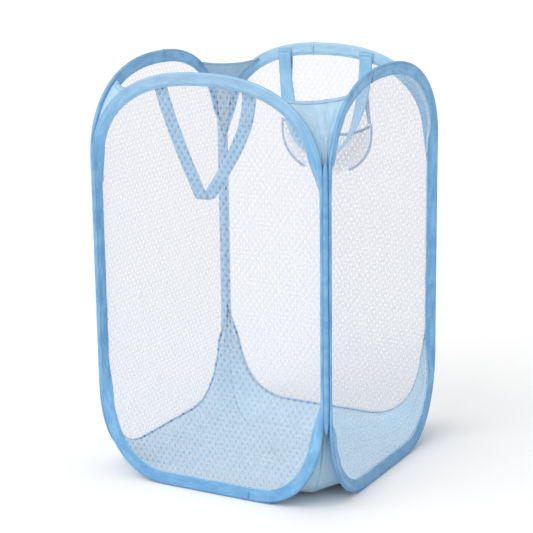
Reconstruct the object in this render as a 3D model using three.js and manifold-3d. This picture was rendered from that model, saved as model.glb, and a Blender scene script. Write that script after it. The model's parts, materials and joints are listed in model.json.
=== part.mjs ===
// A pop up laundry hamper: four spring wire hoops, each bound in folded tape round a mesh panel and sewn to
// its neighbours at the corners, with a fabric floor, corner gussets, two ribbon handles and a mesh pocket.
// Millimetres, +Z up. The origin is on the floor under the middle. The front panel faces -Y.
import * as THREE from "three";
import { mergeVertices } from "three/addons/utils/BufferGeometryUtils.js";
import Module from "manifold-3d";

const wasm = await Module();
wasm.setup();

// The body
const INNER_WIDTH = 354; // between the hinge planes of opposite panels
const HEIGHT = 580;
const CORNER_GAP = 1.3; // from a hinge plane to the tape, and from a hinge axis to a hoop's side
const FIT_GAP = 0.3; // between pieces that lie on each other
const CUT_OVERRUN = 5;

// The outline of a hoop: one arch across the top, a rounded corner at each side of the foot
const TOP_ARCH_HEIGHT = 137;
const LOW_CORNER_WIDTH = 109;
const LOW_CORNER_HEIGHT = 147;
const ARCH_POWER = 2.34; // 2 is an ellipse, and more is squarer
const TOP_ARCH_STEPS = 10;
const LOW_CORNER_STEPS = 8;

// The wire hoop and the ferrule on its joint
const WIRE_DIAMETER = 2;
const WIRE_JOINT_GAP = 0.6;
const WIRE_SIDES = 6;
const WIRE_STEPS = 60;
const FERRULE_WALL = 0.5;
const FERRULE_LENGTH = 22;
const FERRULE_SIDES = 10;

// The tape folded over the wire and the edge of the mesh
const TAPE_WIDTH = 18;
const TAPE_THICKNESS = 0.7;

// The mesh panel, drawn with few large diamonds
const MESH_THICKNESS = 0.8;
const DIAMOND_WIDTH = 50;
const DIAMOND_HEIGHT = 75;
const STRAND_WIDTH = 20.5; // measured level
const CUT_DIAMOND_REACH = 8; // how far under the tape the middle of a diamond that it cuts off may lie
const BOW = 4.5; // how far the seams along its sides draw the middle of the mesh inwards
const BOW_LOW = 98; // above the webs of the floor

// The seam along each corner
const SEAM_DIAMETER = 3;
const SEAM_SIDES = 8;

// The gussets in the top corners
const GUSSET_DROP = 26; // from the top of the hoop to the gusset's straight edge
const GUSSET_TIP_WIDTH = 9;
const GUSSET_INSET = 6; // from the rim of the hoop
const GUSSET_THICKNESS = 0.8;
const GUSSET_HEM_THICKNESS = 1.8;
const GUSSET_STEPS = 6;

// The floor and the webs in its corners
const FLOOR_INSET = 15; // from the rim of the hoop
const FLOOR_THICKNESS = 1.2;
const WEB_TIP_WIDTH = 14;
const WEB_STEPS = 7;
const FLOOR_REST_SHARE = 0.62; // of the floor's reach that lies flat on the ground

// The ribbon handles and their sewn ends
const HANDLE_SPREAD = 134; // between the middles of its two ends
const HANDLE_DROP = 152;
const RIBBON_WIDTH = 20;
const RIBBON_THICKNESS = 1.2;
const RIBBON_FOLD_WIDTH = 19; // across the fold at the bottom
const RIBBON_CROTCH = 30; // from the fold up to where its two arms part
const PATCH_WIDTH = 22;
const PATCH_HEIGHT = 12;
const PATCH_THICKNESS = 0.9;
const PATCH_RIM_MARGIN = 2;

// The pocket on the back panel
const POCKET_WIDTH = 150;
const POCKET_DEPTH = 78;
const POCKET_MOUTH_DROP = 118; // from the top of the hoop
const POCKET_SAG = 22;
const POCKET_BULGE = 18;
const POCKET_THICKNESS = 0.8;
const POCKET_POWER = 2.3;
const POCKET_SIDE_STEPS = 14;
const POCKET_RINGS = 4;
const POCKET_BINDING_HEIGHT = 5;
const POCKET_BINDING_THICKNESS = 1.6;
const POCKET_TAPE_WIDTH = 10;
const POCKET_TAPE_THICKNESS = 0.8;
const POCKET_TAPE_SPREAD = 122;

// Sizes that follow from these
const HALF_INNER = INNER_WIDTH / 2;
const HALF_HOOP = HALF_INNER - CORNER_GAP;
const FERRULE_RADIUS = WIRE_DIAMETER / 2 + FIT_GAP + FERRULE_WALL;
const WIRE_INSET = TAPE_THICKNESS + FIT_GAP + FERRULE_RADIUS;
const BINDING_DEPTH = 2 * WIRE_INSET;
const CHANNEL_END = BINDING_DEPTH - TAPE_THICKNESS;
const LIP_DEPTH = MESH_THICKNESS + 2 * (FIT_GAP + TAPE_THICKNESS);
const MESH_DEPTH = TAPE_THICKNESS + FIT_GAP; // from the tape's inner face to the mesh
const MESH_INSET = WIRE_INSET + FERRULE_RADIUS + FIT_GAP;
const POCKET_MOUTH_HEIGHT = HEIGHT - POCKET_MOUTH_DROP;
const BOW_HIGH = POCKET_MOUTH_HEIGHT - POCKET_DEPTH;
const SEWN_FACE = CORNER_GAP - FIT_GAP; // how far past the hinge plane a piece sewn to the tape reaches

const BLUE = { color: 0x6db2e6, roughness: 0.62, metalness: 0 };
const PALE_BLUE = { color: 0x9fd0ef, roughness: 0.6, metalness: 0 };
const WHITE = { color: 0xf2f4f8, roughness: 0.7, metalness: 0 };
const STEEL = { color: 0x9aa0a6, roughness: 0.35, metalness: 1 };

const hamper = new THREE.Group();

function addPiece(group, name, geometry, look) {
  const mesh = new THREE.Mesh(geometry, new THREE.MeshStandardMaterial(look));
  mesh.name = name;
  group.add(mesh);
  return mesh;
}

function bareMesh(geometry) {
  const bare = geometry.clone();
  bare.deleteAttribute("normal");
  bare.deleteAttribute("uv");
  return mergeVertices(bare);
}

// A geometry from points and the three numbers of each triangle
function fromTriangles(points, triangles) {
  const geometry = new THREE.BufferGeometry();
  geometry.setAttribute("position", new THREE.Float32BufferAttribute(points.flatMap((p) => [p.x, p.y, p.z]), 3));
  geometry.setIndex(triangles.flat());
  return geometry;
}

function toSolid(geometry) {
  const bare = bareMesh(geometry);
  const vertProperties = new Float32Array(bare.attributes.position.array);
  const triVerts = new Uint32Array(bare.index.array);
  return new wasm.Manifold(new wasm.Mesh({ numProp: 3, vertProperties, triVerts }));
}

function toGeometry(solid) {
  const mesh = solid.getMesh();
  const geometry = new THREE.BufferGeometry();
  geometry.setAttribute("position", new THREE.BufferAttribute(new Float32Array(mesh.vertProperties), 3));
  geometry.setIndex(new THREE.BufferAttribute(new Uint32Array(mesh.triVerts), 1));
  return geometry;
}

// A closed sheet between two like nets of points. Its walls stand on the edges that one triangle uses.
function sheet(upper, lower, triangles) {
  const count = upper.length;
  const edges = new Set(triangles.flatMap(([a, b, c]) => [`${a} ${b}`, `${b} ${c}`, `${c} ${a}`]));
  const all = [...triangles, ...triangles.map(([a, b, c]) => [c + count, b + count, a + count])];
  for (const edge of edges) {
    const [a, b] = edge.split(" ").map(Number);
    if (!edges.has(`${b} ${a}`)) {
      all.push([b, a, a + count], [b, a + count, b + count]);
    }
  }
  return fromTriangles([...upper, ...lower], all);
}

// The triangles of a grid of points, row after row
function gridTriangles(rows, columns) {
  const triangles = [];
  for (let i = 0; i < rows - 1; i++) {
    for (let j = 0; j < columns - 1; j++) {
      const a = i * columns + j;
      triangles.push([a, a + 1, a + columns + 1], [a, a + columns + 1, a + columns]);
    }
  }
  return triangles;
}

// A closed ring with one section all round, drawn at each stop of an outline
function sweptRing(section, stops) {
  const points = stops.flatMap((stop) => section.map(([inset, depth]) => inPanel(stop, inset, depth)));
  const size = section.length;
  const triangles = [];
  stops.forEach((stop, i) => {
    const here = i * size;
    const next = ((i + 1) % stops.length) * size;
    section.forEach((corner, j) => {
      const k = (j + 1) % size;
      triangles.push([here + j, next + k, here + k], [here + j, next + j, next + k]);
    });
  });
  return fromTriangles(points, triangles);
}

// A stop on a rounded corner: its place and its outward direction. Angle 0 is level with the corner's
// middle, and a quarter turn is straight above it, or below it where up is -1.
function cornerStop(angle, width, height, middleX, middleZ, up) {
  const across = Math.cos(angle);
  const along = Math.sin(angle);
  const bend = 2 / ARCH_POWER;
  const normal = new THREE.Vector2(across ** (2 - bend) / width, (up * along ** (2 - bend)) / height).normalize();
  return {
    x: middleX + width * across ** bend,
    z: middleZ + up * height * along ** bend,
    nx: normal.x,
    nz: normal.y,
  };
}

function topStop(angle) {
  return cornerStop(Math.min(angle, Math.PI / 2), HALF_HOOP, TOP_ARCH_HEIGHT, 0, HEIGHT - TOP_ARCH_HEIGHT, 1);
}

function lowStop(angle) {
  const middleX = HALF_HOOP - LOW_CORNER_WIDTH;
  return cornerStop(Math.min(angle, Math.PI / 2), LOW_CORNER_WIDTH, LOW_CORNER_HEIGHT, middleX, LOW_CORNER_HEIGHT, -1);
}

// Where a corner's arc is this far in from its side, and where it is this far short of its full height
function angleAtSide(distance, width) {
  return Math.acos((1 - distance / width) ** (ARCH_POWER / 2));
}

function angleAtEnd(distance, height) {
  return Math.asin((1 - distance / height) ** (ARCH_POWER / 2));
}

function turns(from, to, steps) {
  return Array.from({ length: steps + 1 }, (_, i) => from + ((to - from) * i) / steps);
}

// The whole outline, from the middle of the foot round by the right side and the top
function hoopOutline() {
  const quarter = Math.PI / 2;
  const foot = { x: 0, z: 0, nx: 0, nz: -1 };
  const low = turns(quarter, 0, LOW_CORNER_STEPS).map(lowStop);
  const top = turns(0, quarter, TOP_ARCH_STEPS).map(topStop);
  const right = [...low, ...top];
  const left = right.slice(0, -1).reverse().map((s) => ({ x: -s.x, z: s.z, nx: -s.nx, nz: s.nz }));
  return [foot, ...right, ...left];
}

// The place in the front panel that lies inset from the rim, and depth out from the tape's inner face
function inPanel(stop, inset, depth) {
  return new THREE.Vector3(stop.x - stop.nx * inset, -(HALF_INNER + CORNER_GAP + depth), stop.z - stop.nz * inset);
}

function insetShape(inset) {
  return new THREE.Shape(hoopOutline().map((s) => new THREE.Vector2(s.x - s.nx * inset, s.z - s.nz * inset)));
}

// A flat piece of the front panel, from its outline as seen from the front
function panelPlate(shapes, depth, thickness) {
  const plate = new THREE.ExtrudeGeometry(shapes, { depth: thickness, bevelEnabled: false });
  plate.rotateX(Math.PI / 2);
  plate.translate(0, -(HALF_INNER + CORNER_GAP + depth), 0);
  return plate;
}

function rectangle(middle, width, low, high) {
  const half = width / 2;
  const corners = [
    [middle - half, low],
    [middle + half, low],
    [middle + half, high],
    [middle - half, high],
  ];
  return new THREE.Shape(corners.map(([u, v]) => new THREE.Vector2(u, v)));
}

class HoopLine extends THREE.Curve {
  constructor(stops) {
    super();
    this.line = new THREE.CurvePath();
    for (let i = 0; i < stops.length - 1; i++) {
      this.line.add(new THREE.LineCurve3(stops[i], stops[i + 1]));
    }
  }

  getPoint(share) {
    return this.line.getPointAt(share);
  }
}

function roundSection(diameter, sides) {
  const corner = (_, i) => {
    const angle = ((i + 1 / 2) * 2 * Math.PI) / sides;
    return new THREE.Vector2((Math.cos(angle) * diameter) / 2, (Math.sin(angle) * diameter) / 2);
  };
  return new THREE.Shape(Array.from({ length: sides }, corner));
}

// The wire runs once round and its two ends meet at the middle of the foot
function wireHoop() {
  const stops = hoopOutline();
  const start = { ...stops[0], x: WIRE_JOINT_GAP / 2 };
  const end = { ...stops[0], x: -WIRE_JOINT_GAP / 2 };
  const line = new HoopLine([start, ...stops.slice(1), end].map((s) => inPanel(s, WIRE_INSET, WIRE_INSET)));
  const path = new THREE.CatmullRomCurve3(line.getSpacedPoints(WIRE_STEPS));
  return new THREE.ExtrudeGeometry(roundSection(WIRE_DIAMETER, WIRE_SIDES), {
    steps: WIRE_STEPS,
    bevelEnabled: false,
    extrudePath: path,
  });
}

function ferrule() {
  const inner = WIRE_DIAMETER / 2 + FIT_GAP;
  const half = FERRULE_LENGTH / 2;
  const profile = [
    [inner, -half],
    [FERRULE_RADIUS, -half],
    [FERRULE_RADIUS, half],
    [inner, half],
    [inner, -half],
  ];
  const sleeve = new THREE.LatheGeometry(profile.map(([r, y]) => new THREE.Vector2(r, y)), FERRULE_SIDES);
  sleeve.rotateZ(Math.PI / 2);
  const seat = inPanel({ x: 0, z: 0, nx: 0, nz: -1 }, WIRE_INSET, WIRE_INSET);
  sleeve.translate(seat.x, seat.y, seat.z);
  return sleeve;
}

// The tape's section as inset from the rim and depth from its inner face: a fold round the wire, and two
// legs that close on the mesh
function bindingSection() {
  const t = TAPE_THICKNESS;
  return [
    [TAPE_WIDTH, 0],
    [t, 0],
    [0, t],
    [0, BINDING_DEPTH - t],
    [t, BINDING_DEPTH],
    [CHANNEL_END, BINDING_DEPTH],
    [TAPE_WIDTH, LIP_DEPTH],
    [TAPE_WIDTH, LIP_DEPTH - t],
    [CHANNEL_END, BINDING_DEPTH - t],
    [t, BINDING_DEPTH - t],
    [t, t],
    [TAPE_WIDTH, t],
  ];
}

function diamond(x, z) {
  const halfWidth = (DIAMOND_WIDTH - STRAND_WIDTH) / 2;
  const halfHeight = (DIAMOND_HEIGHT - (STRAND_WIDTH * DIAMOND_HEIGHT) / DIAMOND_WIDTH) / 2;
  const corners = [
    [x - halfWidth, z],
    [x, z - halfHeight],
    [x + halfWidth, z],
    [x, z + halfHeight],
  ];
  return new THREE.Shape(corners.map(([u, v]) => new THREE.Vector2(u, v)));
}

function insideLine(point, line) {
  return line.every((a, i) => {
    const b = line[(i + 1) % line.length];
    return (b.x - a.x) * (point.y - a.y) - (b.y - a.y) * (point.x - a.x) > 0;
  });
}

// How far inwards the mesh is drawn at a place
function bowAt(x, z) {
  const middle = (BOW_LOW + BOW_HIGH) / 2;
  const across = x / (HALF_HOOP - TAPE_WIDTH);
  const up = (z - middle) / (BOW_HIGH - middle);
  return BOW * Math.max(0, 1 - across * across) * Math.max(0, 1 - up * up);
}

// The mesh: a plate cut with staggered diamonds, which stop where the tape begins
function meshPanel() {
  const depth = MESH_DEPTH;
  const plate = toSolid(panelPlate(insetShape(MESH_INSET), depth, MESH_THICKNESS));
  const seen = insetShape(TAPE_WIDTH);
  const kept = insetShape(TAPE_WIDTH - CUT_DIAMOND_REACH).getPoints();
  const rows = Math.ceil(HEIGHT / DIAMOND_HEIGHT);
  const columns = Math.ceil(HALF_HOOP / DIAMOND_WIDTH);
  const diamonds = [];
  for (let row = -2 * rows; row <= 2 * rows; row++) {
    for (let column = -columns; column <= columns; column++) {
      const x = (column + Math.abs(row % 2) / 2) * DIAMOND_WIDTH;
      const z = HEIGHT / 2 + (row * DIAMOND_HEIGHT) / 2;
      if (insideLine(new THREE.Vector2(x, z), kept)) {
        diamonds.push(diamond(x, z));
      }
    }
  }
  const through = MESH_THICKNESS + 2 * CUT_OVERRUN;
  const cutters = toSolid(panelPlate(diamonds, depth - CUT_OVERRUN, through));
  const window = toSolid(panelPlate(seen, depth - CUT_OVERRUN, through));
  const bowed = plate.subtract(cutters.intersect(window)).warp((point) => {
    point[1] += bowAt(point[0], point[2]);
  });
  return toGeometry(bowed);
}

// A sheet that spans a corner from the front panel to the right one, drawn at stops of an arc. Each row is
// level, because the right panel's stop mirrors the front one's.
function cornerRow(stop, inset) {
  const here = inPanel(stop, inset, -FIT_GAP);
  return [here, new THREE.Vector3(-here.y, -here.x, here.z)];
}

function gusset() {
  const from = angleAtSide(GUSSET_TIP_WIDTH / Math.SQRT2 - CORNER_GAP - SEWN_FACE, HALF_HOOP);
  const stops = turns(from, angleAtEnd(GUSSET_DROP, TOP_ARCH_HEIGHT), GUSSET_STEPS).map(topStop);
  const thickness = (i) => (i > GUSSET_STEPS - 2 ? GUSSET_HEM_THICKNESS : GUSSET_THICKNESS);
  const outer = stops.flatMap((s) => cornerRow(s, GUSSET_INSET));
  const inner = stops.flatMap((s, i) => cornerRow(s, GUSSET_INSET + thickness(i)));
  return sheet(outer, inner, gridTriangles(stops.length, 2));
}

// The floor: an eight sided dish whose middle lies on the ground, with a web up each of its four corners
function floorPanel() {
  const from = angleAtSide(WEB_TIP_WIDTH / Math.SQRT2 - CORNER_GAP - SEWN_FACE, LOW_CORNER_WIDTH);
  const stops = turns(from, Math.PI / 2, WEB_STEPS).map(lowStop);
  const rows = stops.length;
  const quarterTurn = new THREE.Vector3(0, 0, 1);
  const corners = [0, 1, 2, 3];
  const skin = (inset, rest) => {
    const webs = corners.flatMap((k) =>
      stops
        .flatMap((s) => cornerRow(s, inset))
        .map((p) => p.applyAxisAngle(quarterTurn, (k * Math.PI) / 2)),
    );
    const rims = corners.flatMap((k) => [webs[(k + 1) * 2 * rows - 2], webs[(k + 1) * 2 * rows - 1]]);
    const flat = rims.map((p) => new THREE.Vector3(p.x * FLOOR_REST_SHARE, p.y * FLOOR_REST_SHARE, rest));
    return [...webs, ...flat, new THREE.Vector3(0, 0, rest)];
  };
  const triangles = [];
  const flatStart = corners.length * 2 * rows;
  const middle = flatStart + 2 * corners.length;
  const rim = (n) => Math.floor(n / 2) * 2 * rows + 2 * rows - 2 + (n % 2);
  for (const k of corners) {
    triangles.push(...gridTriangles(rows, 2).map((t) => t.map((n) => n + k * 2 * rows)));
  }
  for (let n = 0; n < 2 * corners.length; n++) {
    const m = (n + 1) % (2 * corners.length);
    triangles.push([rim(n), rim(m), flatStart + m], [rim(n), flatStart + m, flatStart + n]);
    triangles.push([flatStart + n, flatStart + m, middle]);
  }
  return sheet(skin(FLOOR_INSET, FLOOR_THICKNESS), skin(FLOOR_INSET - FLOOR_THICKNESS, 0), triangles);
}

// The stitched seam lies on the hinge axis, along the straight stretch where two hoops run side by side
function cornerSeam() {
  const bottom = LOW_CORNER_HEIGHT;
  const top = HEIGHT - TOP_ARCH_HEIGHT;
  const cord = new THREE.CylinderGeometry(SEAM_DIAMETER / 2, SEAM_DIAMETER / 2, top - bottom, SEAM_SIDES);
  cord.rotateX(Math.PI / 2);
  cord.translate(HALF_INNER, -HALF_INNER, (top + bottom) / 2);
  return cord;
}

function rimHeight(x) {
  const across = Math.abs(x) / HALF_HOOP;
  return HEIGHT - TOP_ARCH_HEIGHT + TOP_ARCH_HEIGHT * (1 - across ** ARCH_POWER) ** (1 / ARCH_POWER);
}

// How high the tape's inner edge runs across the top, this far from the middle
function lipHeight(x) {
  const line = turns(0, Math.PI / 2, TOP_ARCH_STEPS).map((angle) => inPanel(topStop(angle), TAPE_WIDTH, 0));
  const after = line.findIndex((p) => p.x <= x);
  return THREE.MathUtils.mapLinear(x, line[after - 1].x, line[after].x, line[after - 1].z, line[after].z);
}

const PATCH_TOP = rimHeight((HANDLE_SPREAD + PATCH_WIDTH) / 2) - PATCH_RIM_MARGIN;
const HANDLE_AXIS_HEIGHT = PATCH_TOP - PATCH_HEIGHT / 2;

// A sewn end of the handle: a patch on the inner face of the tape, on the side of the middle that side names
function handlePatch(side) {
  const x = (side * HANDLE_SPREAD) / 2;
  return panelPlate(
    rectangle(x, PATCH_WIDTH, PATCH_TOP - PATCH_HEIGHT, PATCH_TOP),
    -FIT_GAP - PATCH_THICKNESS,
    PATCH_THICKNESS,
  );
}

// The ribbon hangs from its ends in a V, folded at the bottom
function ribbonHandle() {
  const half = HANDLE_SPREAD / 2;
  const edge = RIBBON_WIDTH / 2;
  const bottom = HANDLE_AXIS_HEIGHT - HANDLE_DROP;
  const ribbon = new THREE.Shape();
  ribbon.moveTo(-half - edge, HANDLE_AXIS_HEIGHT);
  ribbon.lineTo(-RIBBON_FOLD_WIDTH / 2, bottom);
  ribbon.lineTo(RIBBON_FOLD_WIDTH / 2, bottom);
  ribbon.lineTo(half + edge, HANDLE_AXIS_HEIGHT);
  ribbon.lineTo(half - edge, HANDLE_AXIS_HEIGHT);
  ribbon.lineTo(0, bottom + RIBBON_CROTCH);
  ribbon.lineTo(-half + edge, HANDLE_AXIS_HEIGHT);
  return panelPlate(ribbon, -2 * FIT_GAP - PATCH_THICKNESS - RIBBON_THICKNESS, RIBBON_THICKNESS);
}

const POCKET_FACE = MESH_DEPTH + MESH_THICKNESS + FIT_GAP;

// A point of the pocket: reach runs from the middle of its mouth, at 0, to its sewn edge, at 1
function pocketPoint(angle, reach, lift, depth) {
  const bend = 2 / POCKET_POWER;
  const across = Math.sign(Math.cos(angle)) * Math.abs(Math.cos(angle)) ** bend;
  const down = Math.sin(angle) ** bend;
  const slack = 1 - reach ** 2;
  const x = (POCKET_WIDTH / 2) * across * reach;
  const z = POCKET_MOUTH_HEIGHT - POCKET_DEPTH * down * reach - POCKET_SAG * slack * (1 - down * reach) + lift;
  const y = -(HALF_INNER + CORNER_GAP + POCKET_FACE + POCKET_BULGE * slack + depth);
  return new THREE.Vector3(x, y, z);
}

function pocketMesh() {
  const angles = turns(Math.PI, 0, POCKET_SIDE_STEPS);
  const reaches = turns(1 / POCKET_RINGS, 1, POCKET_RINGS - 1);
  const net = (depth) => [
    ...reaches.flatMap((reach) => angles.map((angle) => pocketPoint(angle, reach, 0, depth))),
    pocketPoint(Math.PI / 2, 0, 0, depth),
  ];
  const columns = angles.length;
  const middle = columns * reaches.length;
  const fan = angles.slice(1).map((_, j) => [middle, j, j + 1]);
  const rings = gridTriangles(reaches.length, columns).map(([a, b, c]) => [c, b, a]);
  return sheet(net(POCKET_THICKNESS), net(0), [...fan, ...rings]);
}

// The blue binding lies along the pocket's mouth, from one sewn corner to the other
function pocketBinding() {
  const reaches = turns(-1, 1, 2 * POCKET_RINGS);
  const row = (lift, depth) => reaches.map((r) => pocketPoint(r < 0 ? Math.PI : 0, Math.abs(r), lift, depth));
  const skin = (depth) => [...row(FIT_GAP, depth), ...row(FIT_GAP + POCKET_BINDING_HEIGHT, depth)];
  return sheet(skin(POCKET_BINDING_THICKNESS), skin(0), gridTriangles(2, reaches.length));
}

// A tape holds each corner of the pocket up to the rim's binding
function pocketTape(side) {
  const x = (side * POCKET_TAPE_SPREAD) / 2;
  const hung = pocketPoint(0, (POCKET_TAPE_SPREAD - POCKET_TAPE_WIDTH) / POCKET_WIDTH, 0, 0).z;
  const low = Math.max(hung, POCKET_MOUTH_HEIGHT) + POCKET_BINDING_HEIGHT + 2 * FIT_GAP;
  const high = lipHeight((POCKET_TAPE_SPREAD + POCKET_TAPE_WIDTH) / 2) - FIT_GAP;
  return panelPlate(rectangle(x, POCKET_TAPE_WIDTH, low, high), POCKET_FACE, POCKET_TAPE_THICKNESS);
}

// The four sides are alike, a quarter turn from one to the next
const SIDES = ["front", "right", "back", "left"];
const sides = Object.fromEntries(
  SIDES.map((name, quarter) => {
    const group = new THREE.Group();
    group.rotation.z = (quarter * Math.PI) / 2;
    hamper.add(group);
    return [name, group];
  }),
);

const outlineStops = hoopOutline();
const shared = {
  hoop: wireHoop(),
  ferrule: ferrule(),
  binding: sweptRing(bindingSection(), outlineStops),
  mesh: meshPanel(),
};
for (const name of SIDES) {
  addPiece(sides[name], `${name}_hoop`, shared.hoop, STEEL);
  addPiece(sides[name], `${name}_ferrule`, shared.ferrule, STEEL);
  addPiece(sides[name], `${name}_binding`, shared.binding, BLUE);
  addPiece(sides[name], `${name}_mesh`, shared.mesh, WHITE);
}

// Each corner belongs to the side on its left, as seen from outside
const CORNERS = { front: "front_right", right: "back_right", back: "back_left", left: "front_left" };
for (const [side, corner] of Object.entries(CORNERS)) {
  addPiece(sides[side], `${corner}_seam`, cornerSeam(), BLUE);
  addPiece(sides[side], `${corner}_gusset`, gusset(), PALE_BLUE);
}

addPiece(hamper, "floor_panel", floorPanel(), PALE_BLUE);

for (const name of ["front", "back"]) {
  addPiece(sides[name], `${name}_handle_left_patch`, handlePatch(-1), BLUE);
  addPiece(sides[name], `${name}_handle_right_patch`, handlePatch(1), BLUE);
  addPiece(sides[name], `${name}_handle`, ribbonHandle(), BLUE);
}

addPiece(sides.back, "pocket_mesh", pocketMesh(), WHITE);
addPiece(sides.back, "pocket_binding", pocketBinding(), BLUE);
addPiece(sides.back, "pocket_left_tape", pocketTape(1), BLUE);
addPiece(sides.back, "pocket_right_tape", pocketTape(-1), BLUE);

export default hamper;
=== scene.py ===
"""A pop up laundry hamper: four taped hoops round white net, a cloth floor, corner gussets, ribbon
handles and a net pocket, dressed round the packed frame. Metres, +Z up, and the front panel faces -Y."""

import json
import math

import bmesh
import bpy
from mathutils import Matrix, Vector, kdtree, noise


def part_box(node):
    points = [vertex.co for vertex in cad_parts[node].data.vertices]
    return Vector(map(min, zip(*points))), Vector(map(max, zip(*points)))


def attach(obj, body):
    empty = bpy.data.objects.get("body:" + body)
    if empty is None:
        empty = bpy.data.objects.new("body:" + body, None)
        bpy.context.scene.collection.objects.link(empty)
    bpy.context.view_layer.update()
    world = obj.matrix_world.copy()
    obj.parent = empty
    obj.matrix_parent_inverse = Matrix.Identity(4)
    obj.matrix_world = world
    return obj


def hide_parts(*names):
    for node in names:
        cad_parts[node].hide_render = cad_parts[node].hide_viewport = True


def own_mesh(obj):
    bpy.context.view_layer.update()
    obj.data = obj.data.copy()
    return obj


bl_info = {
    "name": "Pop up laundry hamper",
    "version": (1, 0, 0),
    "blender": (4, 5, 0),
    "location": "3D View > Sidebar > Hamper",
    "description": "Builds the cloth, net and tape of a pop up laundry hamper round its frame",
    "category": "Object",
}

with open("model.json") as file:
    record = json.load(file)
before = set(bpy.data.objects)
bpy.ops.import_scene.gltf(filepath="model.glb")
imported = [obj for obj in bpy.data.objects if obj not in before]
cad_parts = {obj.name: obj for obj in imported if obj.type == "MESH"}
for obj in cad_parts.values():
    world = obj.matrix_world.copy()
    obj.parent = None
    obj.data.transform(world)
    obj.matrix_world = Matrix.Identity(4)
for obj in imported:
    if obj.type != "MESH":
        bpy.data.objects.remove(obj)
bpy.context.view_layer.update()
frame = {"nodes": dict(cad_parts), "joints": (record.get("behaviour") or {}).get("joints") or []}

MM = 0.001
FULL_TURN = 2 * math.pi
SIDES = ("front", "right", "back", "left")
CORNERS = (  # a corner, the two panels that meet there, and its quarter turns from the front right one
    ("front_right", "front", "right", 0),
    ("back_right", "right", "back", 1),
    ("back_left", "back", "left", 2),
    ("front_left", "left", "front", 3),
)
FOLD = "front_right_fold"

# Places that come from the frame
HALF_MESH = 0.4 * MM  # half the thickness of a mesh panel of the frame
HINGE = next(j for j in frame["joints"] if j["name"] == FOLD)["pos_m"][0]
TAPE_LOW, TAPE_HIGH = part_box("front_binding")
HALF_HOOP = TAPE_HIGH.x
HEIGHT = TAPE_HIGH.z
WIRE_INSET = (TAPE_HIGH.y - TAPE_LOW.y) / 2
WIRE_DEPTH = -(TAPE_LOW.y + TAPE_HIGH.y) / 2 - HINGE
NET_LOW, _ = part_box("front_mesh")
NET_DEPTH = -NET_LOW.y - HINGE - HALF_MESH
SEAM_LOW, SEAM_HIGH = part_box("front_right_seam")
HANDLE_LOW, HANDLE_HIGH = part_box("front_handle")
HANDLE_DEPTH = -(HANDLE_LOW.y + HANDLE_HIGH.y) / 2 - HINGE
PATCH_LOW, PATCH_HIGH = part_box("front_handle_right_patch")
PATCH_DEPTH = -(PATCH_LOW.y + PATCH_HIGH.y) / 2 - HINGE
PATCH_MIDDLE = (PATCH_LOW.x + PATCH_HIGH.x) / 2
POUCH_LOW, POUCH_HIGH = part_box("pocket_mesh")
POUCH_DEPTH = POUCH_LOW.y - HINGE
POCKET_TAPE_LOW, POCKET_TAPE_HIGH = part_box("pocket_right_tape")

# The outline of a hoop
ARCH_HEIGHT = 137 * MM
FOOT_WIDTH = 109 * MM
FOOT_HEIGHT = 147 * MM
ARCH_POWER = 2.34
ARC_STEPS = 90
HOOP_STATIONS = 540

# Where the tapes turn inwards along a corner seam, and the height over which they turn
TURN_FROM = 98 * MM
TURN_FULL = 168 * MM
TURN_UNTIL = 415 * MM
TURN_GONE = 482 * MM

# The creases that the sewing puts into a tape: how many there are to a metre, and how they lean
CREASES = 46
FINE_CREASES = 98
FINE_SHARE = 0.4
CREASE_LEAN = 0.9

# Painted light: how far each panel's tape is painted paler over its arch, where the light falls on it
# (not at all on the right panel, which lies in shade), the height over which it pales, and how much
# darker the tape is towards its foot, and up to what height
ARCH_LIGHT_SHARES = {"front": 0.5, "right": 0.0, "back": 0.68, "left": 0.1}
ARCH_LIGHT_HEIGHT = 120 * MM
FOOT_DARK_SHARE = 0.4
FOOT_DARK_HEIGHT = 90 * MM

# The station of each hoop's rim where the two ends of its tape overlap, and the width of that band
JOINS = {"front": 20, "right": 286, "back": 263, "left": 276}
JOIN_WIDTH = 2.4 * MM

# The floor: its sewn edge, where it starts to rise, and how far from a panel's middle its web ends
FLOOR_EDGE = HINGE + 1.5 * MM
FLOOR_RISES = 105 * MM
WEB_REACH = 164 * MM

# The heights of a gusset's hemmed edge and of its tip, and the depth that is folded over
GUSSET_TOP = HEIGHT - 27 * MM
GUSSET_TIP = SEAM_HIGH.z - 24 * MM
GUSSET_HEM = 5 * MM

# The heights between which a corner's sewn tape runs, and the height of the handles' lowest point
SEAM_FROM = SEAM_LOW.z - 36 * MM
SEAM_UNTIL = SEAM_HIGH.z + 32 * MM
HANDLE_FOOT = HANDLE_LOW.z + 0.5 * MM

# The pocket: its half width, its mouth, its depth, its outline, its slack, and where its net is cut
POUCH_HALF = POUCH_HIGH.x
MOUTH = POUCH_HIGH.z
POUCH_DROP = POUCH_HIGH.z - POUCH_LOW.z
POUCH_POWER = 2.3
MOUTH_SAG = 22 * MM
POUCH_BULGE = 18 * MM
POUCH_EDGE_SHARE = 0.985

# The plane, outwards from the hinges, against which the floor and the gussets would fold flat; it is passed
# on as flatten, which does not fold them
CLOTH_FOLD_DEPTH = 1.2 * MM

# How far the knots of a net lie out of line, how fast that changes along a metre, and its seed, which
# makes it the same in each run
KNOT_SHIFT = 0.25 * MM
KNOT_CHANGES = 400
KNOT_SEED = 1

# How far the seams draw the middle of a net inwards, and the heights between which they do
BOW = 4.5 * MM
BOW_LOW = 98 * MM
BOW_HIGH = POUCH_LOW.z

# The point that the camera looks at
AIM = Vector((-6.3 * MM, 0, 279.4 * MM))


def property_kind(make, **kind):
    """A short form for properties of one kind: their name, description and default."""

    def made(name, description, default):
        return make(name=name, description=description, default=default, **kind)

    return made


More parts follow.
